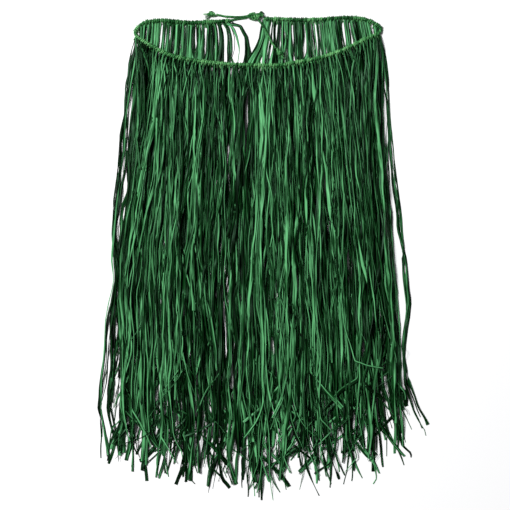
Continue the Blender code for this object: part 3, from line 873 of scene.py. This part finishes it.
def strip_shapes(rng, points, used, median_width, head_width, fan_start):
    """Each strip's width and twist at each point, in millimetres and radians, and its arch.

    The arch is how far the middle of the strip rises over its edges, as a share of its width.
    """
    count, steps = points.shape[:2]
    s = np.arange(steps) * STEP
    length = used * STEP
    full = np.clip(rng.lognormal(math.log(median_width), 0.5, count), 1.1, 10.5)
    grow = ease((s[None, :] - 4.0) / (fan_start + rng.uniform(24.0, 60.0, (count, 1))))
    head = np.minimum(full, rng.uniform(*head_width, count))[:, None]
    width = head + (full[:, None] - head) * grow
    width = width * (1.0 + 0.45 * slow_wave(rng, count, steps * STEP, 60.0, 1.6))
    width = width * (1.0 + 0.25 * slow_wave(rng, count, steps * STEP, 22.0))
    left_over = length[:, None] - s[None, :]
    foot = rng.choice([-0.35, -0.15, 0.1, 0.5], (count, 1))
    width *= 1.0 + foot * ease(1.0 - left_over / 150.0)
    tip_length = rng.uniform(3.0, 24.0, (count, 1))
    tip_share = np.clip(rng.uniform(0.3, 1.5, (count, 1)), 0.0, 1.0)
    width *= tip_share + (1.0 - tip_share) * ease(left_over / tip_length)

    twist = 0.55 * slow_wave(rng, count, steps * STEP, 62.0, 4.0)
    twist += 0.4 * slow_wave(rng, count, steps * STEP, 27.0, 2.0)
    turns = rng.random(count) < 0.35
    turn_at = rng.uniform(0.08, 0.95, count) * length
    turn_length = rng.uniform(16.0, 38.0, count)
    passed = ease((s[None, :] - turn_at[:, None]) / turn_length[:, None]) * turns[:, None]
    twist += math.pi * rng.choice([-1.0, 1.0], (count, 1)) * passed
    edgewise = np.abs(np.sin(twist)) ** 2
    width *= 1.0 - 0.6 * edgewise
    most = WIDEST - (WIDEST - WIDEST_TIP) * ease(1.0 - left_over / 120.0)
    width = np.clip(width, NARROWEST, most)
    arch = rng.normal(0.0, 0.13, (count, 1)) + 0.08 * slow_wave(rng, count, steps * STEP, 60.0)
    return width, twist, np.clip(arch, -0.3, 0.3)


# The height of what already lies on the table, in square cells from this corner on.
CELL = 1.25
GRID_LOW = (-262.0, -392.0)
GRID_SHAPE = (424, 632)
RIBS = np.linspace(-1.0, 1.0, 9)
# The pile's own weight keeps it below this height.
HIGHEST = 20.0
CLEARANCE = 0.05
# A strip bends upwards no more sharply than this radius. It comes down to the pile within one
# length from the front cord, which is raised, and within another from the back cord.
STIFF_RADIUS = 95.0
RAISED_HEAD = 3.0
RAISED_HANG = 34.0
LOW_HANG = 12.0


def lay_down(ground, point, angle, width, twist, arch, head_z):
    """The height of one strip's middle line as it comes to rest on the ground, and its twist there.

    The ground is the height of what already lies there, and is raised by the strip.
    """
    side = np.stack([-np.cos(angle), -np.sin(angle)], axis=1)
    low = np.array(GRID_LOW)

    def cells(across):
        place = point[:, None, :] + across[:, :, None] * side[:, None, :]
        i = ((place - low) / CELL).astype(int)
        return np.clip(i[..., 0], 0, GRID_SHAPE[0] - 1), np.clip(i[..., 1], 0, GRID_SHAPE[1] - 1)

    flat = RIBS[None, :] * width[:, None] / 2
    there = ground[cells(flat)]
    slope = (there[:, -3:].mean(axis=1) - there[:, :3].mean(axis=1)) / np.maximum(width * 0.75, 1.5)
    slope = np.convolve(np.pad(slope, 12, "edge"), np.ones(25) / 25, "valid")
    twist = twist - np.clip(np.arctan(slope), -0.5, 0.5) * np.cos(twist)
    bow = arch[:, None] * width[:, None] * (RIBS[None, :] ** 2 - 0.33)
    across = flat * np.cos(twist)[:, None] + bow * np.sin(twist)[:, None]
    up = -flat * np.sin(twist)[:, None] + bow * np.cos(twist)[:, None]
    spots = cells(across)
    gap = ground[spots] - up
    rest = 0.7 * gap.mean(axis=1) + 0.3 * gap.max(axis=1) + THICKNESS / 2 + CLEARANCE
    floor = THICKNESS / 2 - up.min(axis=1) + CLEARANCE
    rest = np.maximum(rest, floor)
    # A strip bends only so sharply, so it bridges the hollows between what it lies on.
    bridge = rest.copy()
    for k in range(1, 22):
        sag = (k * STEP) ** 2 / (2 * STIFF_RADIUS)
        bridge[k:] = np.maximum(bridge[k:], rest[:-k] - sag)
        bridge[:-k] = np.maximum(bridge[:-k], rest[k:] - sag)
    soft = np.exp(-0.5 * (np.arange(-9, 10) / 3.5) ** 2)
    z = np.convolve(np.pad(bridge, 9, "edge"), soft / soft.sum(), "valid")
    hang = ease(np.arange(len(z)) * STEP / (RAISED_HANG if head_z > RAISED_HEAD else LOW_HANG))
    z = np.maximum(z, head_z + (z - head_z) * hang)
    first = slice(0, int(5 / STEP))
    z[first] = np.minimum(z[first], head_z + 0.4)
    z = np.minimum(z, HIGHEST - up.max(axis=1))
    z = np.maximum(z, floor)
    top = z[:, None] + up + THICKNESS / 2
    np.maximum.at(ground, spots, top)
    return z, twist


def strip_tree():
    """Sweeps a thin arched strip along each line, as wide and as twisted as its points say."""
    tree = new_tree(
        "grass strip",
        (("Ring", "Int", 6), ("Thickness", "Float", 0.0003), ("Material", "Material", None)),
    )
    line = add_node(tree, "GeometryNodeMeshToCurve", {0: size_of(tree, "Geometry")}).outputs[0]
    line = cord_frame(tree, line)
    tangent = add_node(tree, "GeometryNodeInputTangent").outputs[0]
    for direction in ("side", "over"):
        turned = add_node(
            tree,
            "ShaderNodeVectorRotate",
            {
                "Vector": value_of(tree, direction, "FLOAT_VECTOR"),
                "Axis": tangent,
                "Angle": value_of(tree, "twist"),
            },
            rotation_type="AXIS_ANGLE",
        ).outputs[0]
        line = keep_value(tree, line, direction + "_turned", turned, "FLOAT_VECTOR")
    place = add_node(tree, "GeometryNodeInputPosition").outputs[0]
    line = keep_value(tree, line, "middle", place, "FLOAT_VECTOR")
    ring = add_node(
        tree, "GeometryNodeCurvePrimitiveCircle", {"Resolution": size_of(tree, "Ring"), "Radius": 1.0}
    ).outputs[0]
    parts = add_node(tree, "ShaderNodeSeparateXYZ", {0: place}).outputs
    ring = keep_value(tree, ring, "across", parts[0])
    ring = keep_value(tree, ring, "through", parts[1])
    ring = keep_value(tree, ring, "corner", add_node(tree, "GeometryNodeInputIndex").outputs[0])
    strips = sweep(tree, line, ring)
    across, width = value_of(tree, "across"), value_of(tree, "width")
    out = sum_of(tree, "MULTIPLY", sum_of(tree, "MULTIPLY", across, width), 0.5)
    bow = sum_of(tree, "SUBTRACT", sum_of(tree, "POWER", sum_of(tree, "ABSOLUTE", across), 2.0), 0.33)
    bow = sum_of(tree, "MULTIPLY", sum_of(tree, "MULTIPLY", bow, width), value_of(tree, "arch"))
    half = sum_of(tree, "MULTIPLY", size_of(tree, "Thickness"), 0.5)
    up = sum_of(tree, "ADD", bow, sum_of(tree, "MULTIPLY", value_of(tree, "through"), half))
    side_way = vector_of(
        tree, "SCALE", value_of(tree, "side_turned", "FLOAT_VECTOR"), scale=out
    )
    over_way = vector_of(tree, "SCALE", value_of(tree, "over_turned", "FLOAT_VECTOR"), scale=up)
    corner = vector_of(
        tree,
        "ADD",
        value_of(tree, "middle", "FLOAT_VECTOR"),
        vector_of(tree, "ADD", side_way, over_way),
    )
    shaped = add_node(
        tree, "GeometryNodeSetPosition", {"Geometry": strips, "Position": corner}
    ).outputs[0]
    end_tree(tree, shaped)
    return tree


RING = 6
grass_strip = strip_tree()


def stations(count):
    """The points kept of a strip: close together at the hitch and the hem, further apart between."""
    length = count * STEP
    head_length, foot_length = 60.0, 150.0
    head = np.arange(0.0, head_length, 6.0)
    foot = np.arange(length, max(head_length, length - foot_length), -5.2)[::-1]
    body = np.arange(head_length, foot[0] - 6.0, 10.0)
    kept = np.concatenate([head, body, foot])
    return np.unique(np.clip(np.round(kept / STEP).astype(int), 0, count - 1))


def crease(mesh):
    """Keeps the long edges of the strips sharp, as on a folded leaf."""
    corner = np.empty(len(mesh.vertices), np.float32)
    mesh.attributes["corner"].data.foreach_get("value", corner)
    ends = np.empty(len(mesh.edges) * 2, np.int32)
    mesh.edges.foreach_get("vertices", ends)
    ends = corner[ends.reshape(-1, 2)]
    sharp = mesh.attributes.new("sharp_edge", "BOOLEAN", "EDGE")
    sharp.data.foreach_set("value", ends[:, 0] == ends[:, 1])


def own_map(mesh, count):
    """Gives each strip its own narrow column of the bake map, unrolled round its ring."""
    def read(name):
        values = np.empty(len(mesh.vertices), np.float32)
        mesh.attributes[name].data.foreach_get("value", values)
        return values

    corner, number, along = read("corner"), read("number"), read("along")
    vertex = np.empty(len(mesh.loops), np.int32)
    mesh.loops.foreach_get("vertex_index", vertex)
    first = np.empty(len(mesh.polygons), np.int32)
    total = np.empty(len(mesh.polygons), np.int32)
    mesh.polygons.foreach_get("loop_start", first)
    mesh.polygons.foreach_get("loop_total", total)
    face = np.repeat(np.arange(len(first)), total)
    round_it = corner[vertex]
    most = np.maximum.reduceat(round_it, first)[face]
    seam = (most == RING - 1) & (round_it < 2) & (total[face] == 4)
    round_it = np.where(seam & (round_it == 0), RING, round_it) / RING
    u = (number[vertex] - number.min() + 0.04 + 0.92 * round_it) / count
    v = 0.002 + 0.996 * along[vertex] / along.max()
    layer = mesh.uv_layers.new(name="OFBake")
    layer.data.foreach_set("uv", np.stack([u, v], axis=1).astype(np.float32).ravel())


def add_strips(name, strips, material):
    """One object of these strips, each a dict of points, widths, twists, arches and its dye."""
    lines = [strip["line"] for strip in strips]

    def each(key):
        return np.concatenate([strip[key] for strip in strips])

    def whole(key):
        return np.concatenate([np.full(len(s["line"]), s[key]) for s in strips])

    mesh = line_mesh(
        name + "_lines",
        lines,
        width=each("width") * MM,
        twist=each("twist"),
        arch=each("arch"),
        along=each("along") * MM,
        dye=whole("dye"),
        strand=whole("strand"),
        number=np.repeat(np.arange(len(strips)), [len(line) for line in lines]),
    )
    made = made_with(
        grass_strip, name, mesh, ring=RING, thickness=THICKNESS * MM, material=material
    )
    crease(made.data)
    own_map(made.data, len(strips))
    return made


# The share of strips that took the dye badly, and the most dye that they have.
POOR_SHARE = 0.3
POOR_DYE = 0.22


def grow_grass(rng, ground, heads, edges, pull, strays, gaps, kind):
    """Lays strips from these heads one after another, and gives them from left to right.

    kind holds the middle width, the width at the hitch (least, most), where the strips begin to
    open out, the share of short strips, how far a strip leans from its place, the middle dye, how
    far the dye strays and the share of it that a painted shade leaves to the strips laid first, at the
    bottom of the pile.
    """
    places = np.array([head[:2] for head in heads])
    ways = np.array([head[3] for head in heads])
    fan_start = kind["fan_start"]
    points, used = strip_plans(
        rng, places, ways, edges, pull, strays, fan_start, kind["short_share"], kind["leaning"]
    )
    open_gaps(points, used, gaps)
    width, twist, arch = strip_shapes(
        rng, points, used, kind["middle_width"], kind["head_width"], fan_start
    )
    dye = np.clip(rng.normal(kind["dye"], kind["dye_strays"], len(heads)), 0.0, 1.1)
    poor = rng.random(len(heads)) < POOR_SHARE
    dye[poor] = rng.uniform(0.0, POOR_DYE, poor.sum())
    order = rng.permutation(len(heads))
    strips = [None] * len(heads)
    for rank, i in enumerate(order):
        n = used[i]
        way = np.gradient(points[i, :n], axis=0)
        turn = np.arctan2(way[:, 0], -way[:, 1])
        z, twisted = lay_down(
            ground, points[i, :n], turn, width[i, :n], twist[i, :n], arch[i, :n], heads[i][2]
        )
        kept = stations(n)
        # A painted shade: the strips laid first lie at the bottom of the pile and keep the least of
        # their dye, and those laid last, on top, keep the most.
        painted_depth_shade = kind["first_dye"] + 0.95 * rank / len(heads)
        strips[i] = {
            "line": np.column_stack([points[i, kept], z[kept]]),
            "width": width[i, kept],
            "twist": twisted[kept],
            "arch": arch[i, kept],
            "along": kept * STEP,
            "dye": float(np.clip(dye[i] * painted_depth_shade, 0.0, 1.0)),
            "strand": float((i * 0.618) % 1.0),
            "area": float((width[i, :n] * STEP).sum()),
            "length": float(n * STEP),
        }
    return strips


def heads_along(rng, route, pitch, per_hitch, loose, inset, drop, lean):
    """Where the strips leave the cord, hitch by hitch: (x, y, z) and the angle from straight down."""
    steepest = 0.9
    line = smooth_route(route, pitch)
    slope = np.gradient(line[:, 1], line[:, 0])
    found = []
    for (x, y, z), rise in zip(line[inset[0] : len(line) - inset[1]], slope[inset[0] :]):
        for _ in range(rng.choice(per_hitch)):
            jitter = rng.uniform(-loose, loose) * pitch
            way = lean * math.atan(max(-steepest, min(steepest, rise)))
            found.append((x + jitter, y - drop, z - rng.uniform(0.6, 2.2), way))
    return found


def put_down_grass(name, strips, slot, nodes):
    """Makes one piece of these strips and fixes it to the skirt."""
    grass = add_strips(name, strips, grass_raffia)
    put_in_place(grass, slot, *nodes)


grass_raffia = raffia(
    "grass_raffia",
    dark=(0.0004, 0.0025, 0.0003),
    middle=(0.0038, 0.045, 0.008),
    light=(0.115, 0.41, 0.165),
    streak=1.15,
    fold_shade=0.55,
    gloss=0.34,
)
ground = np.full(GRID_SHAPE, 0.12)

# The back grass: a left and a right part, which draw apart at the opening.
BACK_STRIPS = {
    "middle_width": 3.9,
    "head_width": (2.0, 4.2),
    "fan_start": 46.0,
    "short_share": 0.25,
    "leaning": 0.05,
    "dye": 0.7,
    "dye_strays": 0.24,
    # The strips laid first, at the bottom of the pile, keep this share of their dye: a painted shade.
    "first_dye": 0.4,
}
BACK_GAPS = (
    ((-17.0, 292.0, 1.0), (-19.5, 243.0, 4.5), (-20.5, 200.0, 5.0), (-22.0, 150.0, 4.5),
     (-22.5, 125.0, 0.0)),
    ((157.0, -105.0, 0.0), (155.0, -140.0, 4.0), (153.0, -175.0, 0.0)),
)
back_rng = np.random.default_rng(21)
for side, route, edges, pull, inset, locks in (
    ("left", BACK_LEFT_ROUTE, (BACK_LEFT, OPENING_LEFT), (1, 7), (0, 2), range(1, 8)),
    ("right", BACK_RIGHT_ROUTE, (OPENING_RIGHT, BACK_RIGHT), (7, 1), (2, 0), range(1, 9)),
):
    heads = heads_along(
        back_rng, route, pitch=5.7, per_hitch=(3, 4, 5), loose=0.42, inset=inset, drop=1.0, lean=0.0
    )
    strips = grow_grass(
        back_rng, ground, heads, edges, pull, strays=(0, 0), gaps=BACK_GAPS, kind=BACK_STRIPS
    )
    nodes = [f"back_{side}_lock_{k:02d}" for k in locks]
    put_down_grass("back_grass_" + side, strips, "back_grass", nodes)

# The front grass: one layer all along the front cord, with a few loose strips at each side.
FRONT_STRIPS = {
    "middle_width": 2.4,
    "head_width": (1.2, 2.3),
    "fan_start": 4.0,
    "short_share": 0.27,
    "leaning": 0.025,
    "dye": 0.66,
    "dye_strays": 0.26,
    # The strips laid first, at the bottom of the pile, keep this share of their dye: a painted shade.
    "first_dye": 0.2,
}
FRONT_GAPS = (
    ((-17.0, 262.0, 0.0), (-19.5, 243.0, 3.0), (-20.5, 200.0, 3.8), (-22.0, 160.0, 3.2),
     (-22.5, 132.0, 0.0)),
    ((-32.0, 262.0, 0.0), (-32.0, 243.0, 2.0), (-32.0, 224.0, 0.0)),
    ((157.0, -112.0, 0.0), (155.0, -140.0, 2.6), (153.0, -168.0, 0.0)),
)
front_rng = np.random.default_rng(47)
heads = heads_along(
    front_rng, FRONT_ROUTE, HITCH_PITCH, per_hitch=(8, 9), loose=0.17, inset=(1, 1), drop=1.5, lean=0.7
)
strips = grow_grass(
    front_rng, ground, heads, (BODY_LEFT, BODY_RIGHT), (1, 1), strays=(7, 6), gaps=FRONT_GAPS,
    kind=FRONT_STRIPS,
)
third = len(strips) // 3
for part, share, locks in (
    ("left", strips[:third], range(1, 6)),
    ("middle", strips[third : 2 * third], range(6, 12)),
    ("right", strips[2 * third :], range(12, 17)),
):
    nodes = [f"front_lock_{k:02d}" for k in locks]
    put_down_grass("front_grass_" + part, share, "front_grass", nodes)
